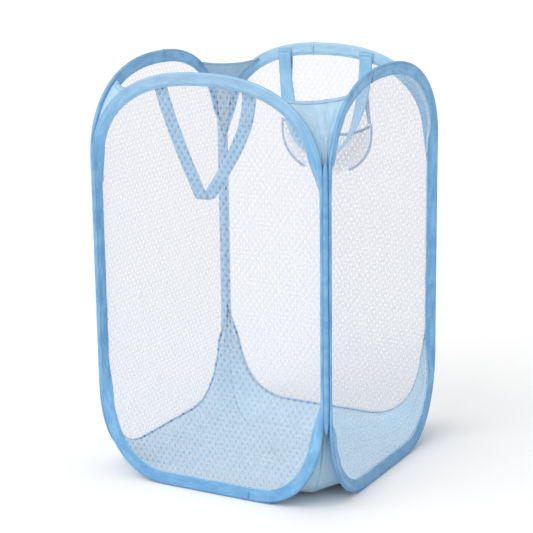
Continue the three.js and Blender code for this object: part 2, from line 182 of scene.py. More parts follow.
size_prop = property_kind(bpy.props.FloatProperty, unit="LENGTH")
angle_prop = property_kind(bpy.props.FloatProperty, unit="ROTATION")
share_prop = property_kind(bpy.props.FloatProperty, subtype="FACTOR")
number_prop = property_kind(bpy.props.FloatProperty)
colour_prop = property_kind(bpy.props.FloatVectorProperty, subtype="COLOR")


class HamperTape(bpy.types.PropertyGroup):
    """The blue tape that is folded over each hoop"""

    width: size_prop("Width", "From the rim to the sewn edge", 18 * MM)
    rim_radius: size_prop("Rim radius", "Of the roll of tape round the wire", 2.72 * MM)
    seam_radius: size_prop("Rim radius at a seam", "Where a corner seam pulls the roll tight", 2.1 * MM)
    edge: size_prop("Edge", "Thickness of both legs and the net at the sewn edge", 1.7 * MM)
    turn: angle_prop("Turn", "How far the tape turns inwards at a corner seam", 1.15)
    gather: share_prop("Gather", "Share of its width that the leg loses along a seam", 0.26)
    pucker: size_prop("Pucker", "How far the sewn tape puckers", 1.0 * MM)
    # dark and light are mixed by the folds, darker in them: partly painted shade of the folds, partly random
    # tone
    dark: colour_prop("Dark", "Colour in the folds", (0.12, 0.365, 0.68))
    light: colour_prop("Light", "Colour where the tape is stretched", (0.255, 0.555, 0.86))
    # painted highlight: the colour that the tape is painted towards over the top arches, where the light
    # falls
    arch_highlight: colour_prop("Pale", "Colour over the top arches", (0.55, 0.76, 0.89))


class HamperNet(bpy.types.PropertyGroup):
    """The knitted net of the panels and the pocket"""

    cell_width: size_prop("Cell width", "Between holes in a row", 9.26 * MM)
    cell_height: size_prop("Cell height", "Between holes in a column", 14 * MM)
    strand: size_prop("Strand", "Half the width of a strand", 2.15 * MM)
    thickness: size_prop("Thickness", "Of the knitted strands", 0.5 * MM)
    cover: share_prop("Cover", "Share of the light that the fine yarn stops", 0.32)
    colour: colour_prop("Colour", "Of the yarn", (0.82, 0.84, 0.93))
    pouch_cover: share_prop("Pouch cover", "Share of the light that the pocket's yarn stops", 0.42)
    pouch_colour: colour_prop("Pouch colour", "Of the doubled yarn of the pocket", (0.70, 0.73, 0.85))


class HamperCloth(bpy.types.PropertyGroup):
    """The thin blue cloth of the floor and the gussets"""

    thickness: size_prop("Thickness", "Of one layer", 0.4 * MM)
    floor_inset: size_prop("Floor inset", "From the rim to the floor's sewn edge", 15.5 * MM)
    # dark and light are mixed by the folds, darker in them: partly painted shade of the folds, partly random
    # tone
    dark: colour_prop("Dark", "Colour in the folds", (0.42, 0.66, 0.85))
    light: colour_prop("Light", "Colour of the flat cloth", (0.55, 0.77, 0.92))
    gusset_shade: share_prop("Gusset shade", "How light the gussets are beside the floor", 0.94)


class HamperHandle(bpy.types.PropertyGroup):
    """The ribbon handles"""

    width: size_prop("Width", "Of the ribbon", 20 * MM)
    thickness: size_prop("Thickness", "Of the ribbon", 0.9 * MM)
    # dark and light are mixed by the folds, not by the ribs: partly painted shade of the folds, partly random
    # tone
    dark: colour_prop("Dark", "Colour between the ribs", (0.21, 0.49, 0.76))
    light: colour_prop("Light", "Colour of the ribs", (0.37, 0.65, 0.87))


class HamperStage(bpy.types.PropertyGroup):
    """The camera, the floor and the lamps"""

    azimuth: angle_prop("Azimuth", "Of the camera, from straight ahead", 0.500)
    elevation: angle_prop("Elevation", "Of the camera above the horizon", 0.247)
    roll: angle_prop("Roll", "Of the camera about its view", -0.013)
    distance: size_prop("Distance", "From the camera to the hamper", 2.3921)
    focal: number_prop("Focal length", "In millimetres on a 36 mm sensor", 112.95)
    sky: number_prop("Sky", "Strength of the light from all round", 0.74)
    lamp: number_prop("Lamp", "Strength of the overhead lamp", 1.4)


GROUPS = {
    "hamper_tape": HamperTape,
    "hamper_net": HamperNet,
    "hamper_cloth": HamperCloth,
    "hamper_handle": HamperHandle,
    "hamper_stage": HamperStage,
}


# Shapes


def smooth_step(low, high, value):
    """0 below low, 1 above high, and an even curve between."""
    share = min(1, max(0, (value - low) / (high - low)))
    return share * share * (3 - 2 * share)


def mix(first, second, share):
    return first + (second - first) * share


def ripple(x, y, z):
    """Smooth noise, about -1 to 1, the same on every run."""
    return noise.noise(Vector((x, y, z)))


def arc(middle, half, start, end):
    """The stops of an arch between two angles, as (across, up) pairs."""
    power = 2 / ARCH_POWER
    stops = []
    for step in range(ARC_STEPS):
        angle = mix(start, end, step / ARC_STEPS)
        cosine, sine = math.cos(angle), math.sin(angle)
        across = middle[0] + half[0] * math.copysign(abs(cosine) ** power, cosine)
        up = middle[1] + half[1] * math.copysign(abs(sine) ** power, sine)
        stops.append(Vector((across, up)))
    return stops


def hoop_stations(count):
    """Evenly spaced places round a hoop's rim, from the middle of the foot, each with its outward
    direction."""
    foot = (FOOT_WIDTH, FOOT_HEIGHT)
    line = [
        Vector((0, 0)),
        *arc((HALF_HOOP - FOOT_WIDTH, FOOT_HEIGHT), foot, -math.pi / 2, 0),
        *arc((0, HEIGHT - ARCH_HEIGHT), (HALF_HOOP, ARCH_HEIGHT), 0, math.pi),
        *arc((FOOT_WIDTH - HALF_HOOP, FOOT_HEIGHT), foot, math.pi, 3 * math.pi / 2),
        Vector((FOOT_WIDTH - HALF_HOOP, 0)),
        Vector((0, 0)),
    ]
    lengths = [(b - a).length for a, b in zip(line, line[1:])]
    total = sum(lengths)
    places, passed, at = [], 0, 0
    for step in range(count):
        wanted = total * step / count
        while passed + lengths[at] < wanted:
            passed += lengths[at]
            at += 1
        places.append(line[at].lerp(line[at + 1], (wanted - passed) / lengths[at]))
    stations = []
    for i, place in enumerate(places):
        along = (places[(i + 1) % count] - places[i - 1]).normalized()
        stations.append((place, Vector((along.y, -along.x))))
    return stations, total


STATIONS, HOOP_LENGTH = hoop_stations(HOOP_STATIONS)

SEARCH = kdtree.KDTree(HOOP_STATIONS)
for number, (rim, _) in enumerate(STATIONS):
    SEARCH.insert((rim.x, rim.y, 0), number)
SEARCH.balance()


def station_at(share):
    """The rim's place and outward direction at a share of the way round."""
    return STATIONS[round(share * HOOP_STATIONS) % HOOP_STATIONS]


def nearest_station(across, up):
    """The station of the rim nearest to a place of the panel, and how far in from the rim the place lies."""
    _, number, away = SEARCH.find((across, up, 0))
    return *STATIONS[number], away


def reach_at(up, inset):
    """How far from the panel's middle a line inside the rim runs at this height."""
    share, corner = 0, HALF_HOOP
    if up > HEIGHT - ARCH_HEIGHT:
        share = (up - HEIGHT + ARCH_HEIGHT) / (ARCH_HEIGHT - inset)
    elif up < FOOT_HEIGHT:
        share, corner = (FOOT_HEIGHT - up) / (FOOT_HEIGHT - inset), FOOT_WIDTH
    return HALF_HOOP - corner + (corner - inset) * (1 - min(1, share) ** ARCH_POWER) ** (1 / ARCH_POWER)


def edge_height(across, inset):
    """How high a line inside the rim runs along the foot, this far from the panel's middle."""
    start = HALF_HOOP - FOOT_WIDTH
    if abs(across) <= start:
        return inset
    reach = min(1, (abs(across) - start) / (FOOT_WIDTH - inset))
    return FOOT_HEIGHT - (FOOT_HEIGHT - inset) * (1 - reach**ARCH_POWER) ** (1 / ARCH_POWER)


def inside_hoop(across, up, inset):
    """Whether a place lies inside the hoop's outline by at least this much."""
    half, high, low = HALF_HOOP - inset, HEIGHT - inset, inset
    if abs(across) > half or up < low or up > high:
        return False
    if up > HEIGHT - ARCH_HEIGHT:
        reach = (abs(across) / half) ** ARCH_POWER
        return reach + ((up - HEIGHT + ARCH_HEIGHT) / (ARCH_HEIGHT - inset)) ** ARCH_POWER < 1
    if up < FOOT_HEIGHT and abs(across) > HALF_HOOP - FOOT_WIDTH:
        reach = ((abs(across) - HALF_HOOP + FOOT_WIDTH) / (FOOT_WIDTH - inset)) ** ARCH_POWER
        return reach + ((FOOT_HEIGHT - up) / (FOOT_HEIGHT - inset)) ** ARCH_POWER < 1
    return True


def seam_share(up):
    """1 where a corner seam holds the panel's sides, and 0 above and below it."""
    return smooth_step(TURN_FROM, TURN_FULL, up) * (1 - smooth_step(TURN_UNTIL, TURN_GONE, up))


def roll_radius(up):
    """The radius of the tape's roll round the wire at this height."""
    tape = bpy.context.scene.hamper_tape
    return mix(tape.rim_radius, tape.seam_radius, seam_share(up))


def leg_width(up):
    """The width of the tape's sewn leg at this height, which a seam gathers."""
    tape = bpy.context.scene.hamper_tape
    return (tape.width - WIRE_INSET) * (1 - tape.gather * seam_share(up))


def settle(across, up, depth, proud=0.0):
    """Where a place of the front panel comes to lie once its tapes turn inwards along the corner seams.
    depth is outwards from the hinge plane, and proud is outwards from the turned cloth."""
    tape = bpy.context.scene.hamper_tape
    turn = tape.turn * seam_share(up)
    leg = leg_width(up)
    from_wire = max(0, HALF_HOOP - WIRE_INSET - abs(across))
    on_tape = min(from_wire, leg)
    fade = 1 - (from_wire - on_tape) / (HALF_HOOP - WIRE_INSET - leg)
    side = math.copysign(1, across)
    level = (2 * up - BOW_LOW - BOW_HIGH) / (BOW_HIGH - BOW_LOW)
    bow = BOW * max(0, 1 - (across / (HALF_HOOP - tape.width)) ** 2) * max(0, 1 - level * level)
    x = across + side * on_tape * (1 - math.cos(turn)) * fade
    y = -(HINGE + depth) + on_tape * math.sin(turn) * fade**3 + bow
    lean = turn * fade
    return Vector((x - side * math.sin(lean) * proud, y - math.cos(lean) * proud, up))


def pucker(rim, inward, inset):
    """How far the tape and the net sewn to it pucker, this far in from the rim."""
    tape = bpy.context.scene.hamper_tape
    slant = rim + Vector((inward.y, -inward.x)) * inset * CREASE_LEAN
    fine = ripple(slant.x * FINE_CREASES, slant.y * FINE_CREASES, 5)
    folds = ripple(slant.x * CREASES, slant.y * CREASES, 0) + FINE_SHARE * fine
    rise = smooth_step(WIRE_INSET, 0.6 * tape.width, inset)
    fall = 1 - smooth_step(tape.width, 1.9 * tape.width, inset)
    return tape.pucker * folds * rise * fall


def quarter(turns):
    return Matrix.Rotation(turns * math.pi / 2, 3, "Z")


def bent_grid(columns, rows, width, height, place, wall=None):
    """A grid whose points are moved to place(column share, row share), with its flat size kept as a UV
    map. wall(column share, row share) is the share of its full thickness that a point gets."""
    bm = bmesh.new()
    bmesh.ops.create_grid(bm, x_segments=columns, y_segments=rows, size=1, calc_uvs=False)
    uv = bm.loops.layers.uv.new("flat")
    weights = bm.verts.layers.deform.verify() if wall else None
    shares = {v: ((v.co.x + 1) / 2, (v.co.y + 1) / 2) for v in bm.verts}
    for face in bm.faces:
        for loop in face.loops:
            s, t = shares[loop.vert]
            loop[uv].uv = (s * width, t * height)
    for v, (s, t) in shares.items():
        v.co = place(s, t)
        if wall:
            v[weights][0] = wall(s, t)
    bmesh.ops.remove_doubles(bm, verts=bm.verts, dist=0.01 * MM)
    return bm


def close_ends(bm):
    """Closes a tube's open ends and turns its faces outwards."""
    bmesh.ops.holes_fill(bm, edges=[e for e in bm.edges if e.is_boundary], sides=0)
    bmesh.ops.recalc_face_normals(bm, faces=bm.faces)


def net_cells(across, up, keeps, net):
    """A flat net in the XZ plane: staggered cells whose middle keeps() allows, each with a rounded hole."""
    bm = bmesh.new()
    count = 2 * math.ceil(max(across / net.cell_width, up / net.cell_height))
    bmesh.ops.create_grid(bm, x_segments=count, y_segments=count, size=count / 2)
    bmesh.ops.rotate(bm, verts=bm.verts, matrix=Matrix.Rotation(math.pi / 4, 3, "Z"))
    spread = Vector((net.cell_width / math.sqrt(2), net.cell_height / math.sqrt(2), 1))
    bmesh.ops.scale(bm, verts=bm.verts, vec=spread)
    bmesh.ops.rotate(bm, verts=bm.verts, matrix=Matrix.Rotation(math.pi / 2, 3, "X"))
    middles = {face: face.calc_center_median() for face in bm.faces}
    outside = [face for face, at in middles.items() if not keeps(at.x, at.z)]
    bmesh.ops.delete(bm, geom=outside, context="FACES")
    noise.seed_set(KNOT_SEED)
    for v in bm.verts:
        v.co += KNOT_SHIFT * noise.noise_vector(v.co * KNOT_CHANGES)
    cells = list(bm.faces)
    bmesh.ops.inset_individual(bm, faces=cells, thickness=net.strand, use_even_offset=True)
    rims = dict.fromkeys(edge for face in cells for edge in face.edges)
    bmesh.ops.delete(bm, geom=cells, context="FACES_ONLY")
    bmesh.ops.subdivide_edges(bm, edges=list(rims), cuts=1)
    holes = [v for v in bm.verts if v.is_boundary and len(v.link_faces) < 3]
    bmesh.ops.smooth_vert(bm, verts=holes, factor=0.4, use_axis_x=True, use_axis_z=True)
    bmesh.ops.recalc_face_normals(bm, faces=bm.faces)
    return bm


def area_of(bm):
    return sum(face.calc_area() for face in bm.faces)


def add_object(name, data):
    made = bpy.data.objects.new(name, data)
    bpy.context.scene.collection.objects.link(made)
    return made


def make_piece(bm, name, finish, body, slot, replaced=(), turns=0, thickness=0.0, flatten=None):
    """Turns a finished bmesh into a piece that rides on a body. flatten is the depth of the plane, outwards
    from the hinge plane, that it would fold flat against; the piece is not folded here, and flatten only
    gives it its own copy of its mesh."""
    if turns:
        bmesh.ops.rotate(bm, verts=bm.verts, matrix=quarter(turns))
    mesh = bpy.data.meshes.new(name)
    tapered = bm.verts.layers.deform.active is not None
    bm.to_mesh(mesh)
    bm.free()
    mesh.shade_smooth()
    mesh.materials.append(MATERIALS[finish])
    piece = add_object(name, mesh)
    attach(piece, body)
    if replaced:
        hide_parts(*replaced)
    if flatten is not None:
        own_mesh(piece)
    if thickness:
        wall = piece.modifiers.new("thickness", "SOLIDIFY")
        wall.thickness = thickness
        wall.offset = 0
        if tapered:
            wall.vertex_group = piece.vertex_groups.new(name="wall").name
    return piece


# Materials


def set_inputs(tree, made, inputs):
    """Sets a node's inputs to values, or joins them to sockets."""
    for socket, value in inputs.items():
        if isinstance(value, bpy.types.NodeSocket):
            tree.links.new(value, made.inputs[socket])
        else:
            made.inputs[socket].default_value = value


def add_node(tree, kind, inputs=None, **settings):
    """A shader node with its settings and its inputs."""
    made = tree.nodes.new("ShaderNode" + kind)
    for name, value in settings.items():
        setattr(made, name, value)
    set_inputs(tree, made, inputs or {})
    return made


def calculate(tree, operation, first, second=0.0, third=0.0, clamp=False):
    inputs = {0: first, 1: second, 2: third}
    return add_node(tree, "Math", inputs, operation=operation, use_clamp=clamp).outputs[0]


def multiply(tree, first, second):
    return calculate(tree, "MULTIPLY", first, second)


def add(tree, first, second):
    return calculate(tree, "ADD", first, second)


def split(tree, vector):
    """The three coordinates of a place."""
    return add_node(tree, "SeparateXYZ", {"Vector": vector}).outputs


def spread(tree, value, low, high, first=0.0, last=1.0, **settings):
    """A value between low and high, spread out from first to last."""
    limits = {"Value": value, "From Min": low, "From Max": high, "To Min": first, "To Max": last}
    return add_node(tree, "MapRange", limits, **settings).outputs[0]


def blend_colours(tree, share, first, second):
    factor, a, b, result = 0, 6, 7, 2
    return add_node(tree, "Mix", {factor: share, a: first, b: second}, data_type="RGBA").outputs[result]


def darker(values, share):
    return [value * share for value in values]


def colour(values, share=1.0):
    """A colour made darker or lighter, with its alpha."""
    return (*(min(1, value * share) for value in values), 1)


def object_place(tree):
    return add_node(tree, "TexCoord").outputs["Object"]


def new_material(name):
    material = bpy.data.materials.new(name)
    material.use_nodes = True
    return material, material.node_tree, material.node_tree.nodes["Principled BSDF"]


def make_group(name, inputs, outputs, build):
    """A node group with named sockets. build(group, inputs, outputs) fills it."""
    group = bpy.data.node_groups.new(name, "ShaderNodeTree")
    for label, kind, value in inputs:
        socket = group.interface.new_socket(label, in_out="INPUT", socket_type="NodeSocket" + kind)
        if value is not None:
            socket.default_value = value
    for label in outputs:
        group.interface.new_socket(label, in_out="OUTPUT", socket_type="NodeSocketFloat")
    start = group.nodes.new("NodeGroupInput")
    end = group.nodes.new("NodeGroupOutput")
    build(group, start.outputs, end.inputs)
    return group


def fill_woven_threads(group, given, wanted):
    """Threads that cross over and under each other."""
    parts = split(group, given["Place"])
    turn = calculate(group, "DIVIDE", FULL_TURN, given["Thread"])
    across = calculate(group, "SINE", multiply(group, parts[0], turn))
    along = calculate(group, "SINE", multiply(group, parts[1], turn))
    weave = calculate(group, "MULTIPLY_ADD", multiply(group, across, along), 0.5, 0.5)
    group.links.new(weave, wanted["Height"])


def fill_stitches(group, given, wanted):
    """One row of stitches along the first axis of Place, at Row on the second."""
    parts = split(group, given["Place"])
    off = calculate(group, "ABSOLUTE", calculate(group, "SUBTRACT", parts[1], given["Row"]))
    near = calculate(group, "SUBTRACT", 1, calculate(group, "DIVIDE", off, given["Width"]), clamp=True)
    step = calculate(group, "FRACT", calculate(group, "DIVIDE", parts[0], given["Pitch"]))
    middle = calculate(group, "ABSOLUTE", calculate(group, "SUBTRACT", step, 0.5))
    half_stitch, sharpness, groove_width = 0.4, 8, 0.35
    inside = calculate(group, "SUBTRACT", half_stitch, middle, clamp=True)
    thread = calculate(group, "MULTIPLY", inside, sharpness, clamp=True)
    group.links.new(multiply(group, near, thread), wanted["Thread"])
    groove = multiply(group, off, calculate(group, "DIVIDE", groove_width, given["Width"]))
    group.links.new(calculate(group, "SUBTRACT", 1, groove, clamp=True), wanted["Groove"])


def fill_folds(group, given, wanted):
    """Soft folds that lean across the cloth, and blotches of shade."""
    turned = {"Vector": given["Place"], "Rotation": given["Lean"], "Scale": given["Stretch"]}
    leaning = add_node(group, "Mapping", turned).outputs[0]
    waves = {"Vector": leaning, "Scale": 1.0, "Detail": 3.0, "Roughness": 0.55}
    folds = add_node(group, "TexNoise", waves).outputs[0]
    sharp = spread(group, folds, 0.32, 0.68, interpolation_type="SMOOTHSTEP")
    group.links.new(sharp, wanted["Folds"])
    spots = {"Vector": given["Place"], "Scale": given["Blotches"], "Detail": 2.0}
    group.links.new(add_node(group, "TexNoise", spots).outputs[0], wanted["Shade"])


def make_groups():
    place = ("Place", "Vector", None)
    thread = [place, ("Thread", "Float", 0.6 * MM)]
    stitch = [place, ("Row", "Float", 0.0), ("Pitch", "Float", 3 * MM), ("Width", "Float", 0.4 * MM)]
    lean, stretch = ("Lean", "Vector", None), ("Stretch", "Vector", (1, 1, 1))
    fold = [place, lean, stretch, ("Blotches", "Float", 20.0)]
    return {
        "woven": make_group("woven threads", thread, ["Height"], fill_woven_threads),
        "stitches": make_group("stitches", stitch, ["Thread", "Groove"], fill_stitches),
        "folds": make_group("folds", fold, ["Folds", "Shade"], fill_folds),
    }


def use_group(tree, groups, key, inputs):
    made = add_node(tree, "Group", node_tree=groups[key])
    set_inputs(tree, made, inputs)
    return made.outputs


def fade(tree, base, arch_highlight, dark, share):
    """Painted light: the tape paler over the arch, where light falls, by a share; darker towards the foot."""
    level = split(tree, object_place(tree))[2]
    high = spread(tree, level, HEIGHT - ARCH_LIGHT_HEIGHT, HEIGHT, 0.0, share)
    base = blend_colours(tree, high, base, colour(arch_highlight))
    low = spread(tree, level, 0.0, FOOT_DARK_HEIGHT, FOOT_DARK_SHARE, 0.0)
    return blend_colours(tree, low, base, colour(dark, 0.8))


def sew_row(tree, groups, place, row, base, height, dark, light):
    """The colour and the height of the cloth with one more row of stitches."""
    stitch = use_group(tree, groups, "stitches", {"Place": place, **row})
    groove, thread = stitch["Groove"], stitch["Thread"]
    groove_share, groove_depth, thread_rise = 0.35, 0.35 * MM, 0.4 * MM
    base = blend_colours(tree, multiply(tree, groove, groove_share), base, colour(dark, 0.55))
    base = blend_colours(tree, thread, base, colour(light, 1.25))
    step = add(tree, multiply(tree, groove, -groove_depth), multiply(tree, thread, thread_rise))
    return base, add(tree, height, step)


def rib_height(tree, place, pitch):
    """Ribs across a ribbon."""
    rise = 0.09 * MM
    wave = calculate(tree, "SINE", multiply(tree, split(tree, place)[0], FULL_TURN / pitch))
    return multiply(tree, wave, rise)


def cloth(
    name, groups, dark, light, thread, lean, stretch, relief, rows=(), sheen=0.3, ribs=0.0, edge=None,
    arch_light=None, painted_slant_shade=0.0, hem=None, streaks=0.55,
):
    """A woven cloth: folds, blotches, threads and rows of stitches, which follow the piece's UV map. The
    colour in the folds is partly painted shade and the blotches are random tone. arch_light is a painted
    highlight colour over the arch and its share, painted_slant_shade is painted shade that darkens what is
    seen at a slant, and hem is a lower edge's depth and colour."""
    material, tree, shader = new_material(name)
    place = add_node(tree, "UVMap", uv_map="flat").outputs[0]
    folds = use_group(tree, groups, "folds", {"Place": place, "Lean": lean, "Stretch": stretch})
    blotches = use_group(tree, groups, "folds", {"Place": object_place(tree), "Blotches": 14.0})
    woven = use_group(tree, groups, "woven", {"Place": place, "Thread": thread})
    # partly painted shade: darker colour where the folds lie, the same folds that the bump raises, mixed with
    # random tone from the blotches
    clouds = multiply(tree, blotches["Shade"], 1.15 - streaks)
    shade = calculate(tree, "MULTIPLY_ADD", folds["Folds"], streaks, clouds)
    base = blend_colours(tree, shade, colour(dark), colour(light))
    # painted light: paler over the arch where light falls on it, and darker towards the foot
    if arch_light:
        base = fade(tree, base, arch_light[0], dark, arch_light[1])
    if hem:
        down = calculate(tree, "LESS_THAN", split(tree, place)[1], hem[0])
        base = blend_colours(tree, multiply(tree, down, 0.45), base, colour(hem[1]))
    # painted shade: darker where the cloth is seen at a slant, as on the far side of the roll round the wire
    if painted_slant_shade:
        facing = add_node(tree, "LayerWeight", {"Blend": 0.3}).outputs["Facing"]
        base = blend_colours(tree, multiply(tree, facing, painted_slant_shade), base, colour(dark, 0.5))
    thread_rise = 0.06 * MM
    height = multiply(tree, folds["Folds"], relief)
    height = add(tree, height, multiply(tree, woven["Height"], thread_rise))
    if ribs:
        height = add(tree, height, rib_height(tree, place, ribs))
    for row in rows:
        base, height = sew_row(tree, groups, place, row, base, height, dark, light)
    # painted highlight: a lighter line along the tape's sewn edge
    if edge:
        line = {"Place": place, "Row": edge, "Width": 0.4 * MM, "Pitch": 1.0}
        fold = use_group(tree, groups, "stitches", line)
        base = blend_colours(tree, multiply(tree, fold["Groove"], 0.55), base, colour(light, 1.35))
    bump = add_node(tree, "Bump", {"Height": height, "Strength": 1.0, "Distance": 1.0}).outputs[0]
    roughness = calculate(tree, "MULTIPLY_ADD", woven["Height"], 0.1, 0.57)
    set_inputs(tree, shader, {"Base Color": base, "Roughness": roughness, "Normal": bump})
    set_inputs(tree, shader, {"Sheen Weight": sheen, "Sheen Roughness": 0.45})
    return material


def metal(name, groups, base_colour, rough):
    """Drawn wire or plated sheet, with fine streaks and dull spots."""
    material, tree, shader = new_material(name)
    drawn = {"Place": object_place(tree), "Stretch": (900, 900, 60), "Blotches": 240.0}
    streaks = use_group(tree, groups, "folds", drawn)
    base = blend_colours(tree, streaks["Shade"], colour(base_colour, 0.7), colour(base_colour))
    roughness = calculate(tree, "MULTIPLY_ADD", streaks["Folds"], 0.15, rough)
    scratches = {"Height": streaks["Folds"], "Strength": 0.3, "Distance": 0.05 * MM}
    bump = add_node(tree, "Bump", scratches).outputs[0]
    set_inputs(tree, shader, {"Base Color": base, "Roughness": roughness, "Normal": bump, "Metallic": 1.0})
    return material


def yarn(name, groups, base_colour, cover):
    """Knitted white yarn: loops along the strands, with gaps between its fine threads that let light
    through."""
    material, tree, shader = new_material(name)
    place = object_place(tree)
    parts = split(tree, place)
    across = add(tree, parts[0], parts[1])
    flat = add_node(tree, "CombineXYZ", {"X": across, "Y": parts[2]}).outputs[0]
    loops = use_group(tree, groups, "woven", {"Place": flat, "Thread": 0.9 * MM})
    fuzz = use_group(tree, groups, "folds", {"Place": place, "Stretch": (900, 900, 500), "Blotches": 30.0})
    shade = calculate(tree, "MULTIPLY_ADD", loops["Height"], 0.35, multiply(tree, fuzz["Shade"], 0.5))
    base = blend_colours(tree, shade, colour(base_colour, 0.9), colour(base_colour))
    loop_rise, fuzz_rise = 0.16 * MM, 0.06 * MM
    height = add(tree, multiply(tree, loops["Height"], loop_rise), multiply(tree, fuzz["Folds"], fuzz_rise))
    bump = add_node(tree, "Bump", {"Height": height, "Strength": 1.0, "Distance": 1.0}).outputs[0]
    covered = calculate(tree, "MULTIPLY_ADD", loops["Height"], 0.1, cover - 0.05)
    outer = calculate(tree, "SUBTRACT", 1, add_node(tree, "NewGeometry").outputs["Backfacing"])
    set_inputs(tree, shader, {"Base Color": base, "Normal": bump, "Alpha": multiply(tree, covered, outer)})
    set_inputs(tree, shader, {"Roughness": 0.75, "Sheen Weight": 0.15})
    return material


MATERIALS = {}
STITCH = {"Pitch": 3.4 * MM, "Width": 0.55 * MM}


def tape_materials(groups, tape, side, share):
    """The finishes of one panel's tape, over the wire and sewn on, with a share of painted light over the
    arch.
    """
    weave = (tape.dark, tape.light, 0.7 * MM, (0, 0, 0.7), (34, 110, 1))
    # painted light over the arch, and a larger share of painted shade in the folds
    arch_light_and_fold_shade = {"arch_light": (tape.arch_highlight, share), "streaks": 0.8}
    MATERIALS["rim_" + side] = cloth(
        "tape over the wire", groups, *weave, 0.5 * MM, sheen=0.1, painted_slant_shade=0.6, **arch_light_and_fold_shade
    )
    rows, edge = [{"Row": 12.6 * MM, **STITCH}], tape.width - WIRE_INSET
    MATERIALS["tape_" + side] = cloth(
        "sewn tape", groups, *weave, 0.9 * MM, rows=rows, edge=edge, **arch_light_and_fold_shade
    )


def make_materials(scene):
    """Every finish of the hamper, made once."""
    groups = make_groups()
    tape, net, thin, handle = scene.hamper_tape, scene.hamper_net, scene.hamper_cloth, scene.hamper_handle
    for side, share in ARCH_LIGHT_SHARES.items():
        tape_materials(groups, tape, side, share)
    hem_depth = 9.6 * MM
    hem = {"rows": [{"Row": hem_depth, **STITCH}], "hem": (hem_depth, tape.light), "sheen": 0.35}
    end_rows = [{"Row": row * MM, **STITCH} for row in (1.8, 6, 10.2)]
    gusset = [darker(shade, thin.gusset_shade) for shade in (thin.dark, thin.light)]
    floor, seam = (thin.dark, thin.light), (tape.dark, tape.light)
    ribbon, join = (handle.dark, handle.light), (darker(tape.dark, 0.5), tape.dark)
    MATERIALS.update(
        gusset=cloth("gusset cloth", groups, *gusset, 0.5 * MM, (0, 0, 0.2), (45, 90, 1), 0.5 * MM, **hem),
        floor=cloth("floor cloth", groups, *floor, 0.5 * MM, (0, 0, 0.9), (22, 50, 1), 0.7 * MM),
        ribbon=cloth("ribbon", groups, *ribbon, 0.6 * MM, (0, 0, 0), (40, 60, 1), 0.15 * MM, ribs=1.6 * MM),
        patch=cloth("sewn end", groups, *ribbon, 0.6 * MM, (0, 0, 0), (60, 60, 1), 0.2 * MM, rows=end_rows),
        seam=cloth("sewn corner", groups, *seam, 0.7 * MM, (0, 0, 0.8), (90, 60, 1), 0.4 * MM),
        join=cloth("tape join", groups, *join, 0.6 * MM, (0, 0, 0), (60, 60, 1), 0.2 * MM),
        net=yarn("net", groups, net.colour, net.cover),
        pouch=yarn("pocket net", groups, net.pouch_colour, net.pouch_cover),
        wire=metal("spring wire", groups, (0.55, 0.57, 0.6), 0.28),
        ferrule=metal("crimped sleeve", groups, (0.62, 0.63, 0.65), 0.35),
    )


# Pieces


def rim_place(s, t):
    """The roll of tape round the wire, a little uneven."""
    angle = FULL_TURN * t
    rim, outward = station_at(s)
    uneven = 0.035 * ripple(rim.x * 60, rim.y * 60, 2 * math.sin(angle))
    radius = roll_radius(rim.y) * (1 + uneven)
    at = rim - outward * (WIRE_INSET - radius * math.cos(angle))
    return Vector((at.x, -(HINGE + WIRE_DEPTH) - radius * math.sin(angle), at.y))


def leg_place(s, t):
    """The middle between the tape's two legs, from the wire to the sewn edge."""
    rim, outward = station_at(s)
    inset = WIRE_INSET + t * leg_width(rim.y)
    at = rim - outward * inset
    return settle(at.x, at.y, mix(WIRE_DEPTH, NET_DEPTH, t), pucker(rim, -outward, inset))


def leg_wall(s, t):
    """The share of the roll's thickness that the legs have, as they close on the net."""
    tape = bpy.context.scene.hamper_tape
    rim, outward = station_at(s)
    at_wire = 0.97 * roll_radius((rim - outward * WIRE_INSET).y)
    return mix(at_wire, tape.edge / 2, t**0.85) / tape.rim_radius


def join_place(station):
    """The places of a band round the tape's section at a station, where its two ends overlap."""
    tape = bpy.context.scene.hamper_tape
    rim, outward = STATIONS[station]
    past_rim, past_edge, proud = 0.2 * MM, 0.3 * MM, 0.22 * MM

    def place(s, t):
        along = Vector((-outward.y, outward.x)) * (s - 0.5) * JOIN_WIDTH
        angle = FULL_TURN * t
        inwards = 0.5 - 0.5 * math.cos(angle)
        from_wire = inwards * tape.width - WIRE_INSET
        half = mix(tape.rim_radius, tape.edge / 2, max(0, from_wire) / (tape.width - WIRE_INSET))
        if from_wire < 0:
            half *= min(1, 1.6 * math.sqrt(inwards))
        at = rim + along - outward * (inwards * (tape.width + past_rim + past_edge) - past_rim)
        out = math.copysign(half + proud, math.sin(angle)) if inwards < 0.995 else 0
        return Vector((at.x, -(HINGE + mix(WIRE_DEPTH, NET_DEPTH, inwards)) - out, at.y))

    return place


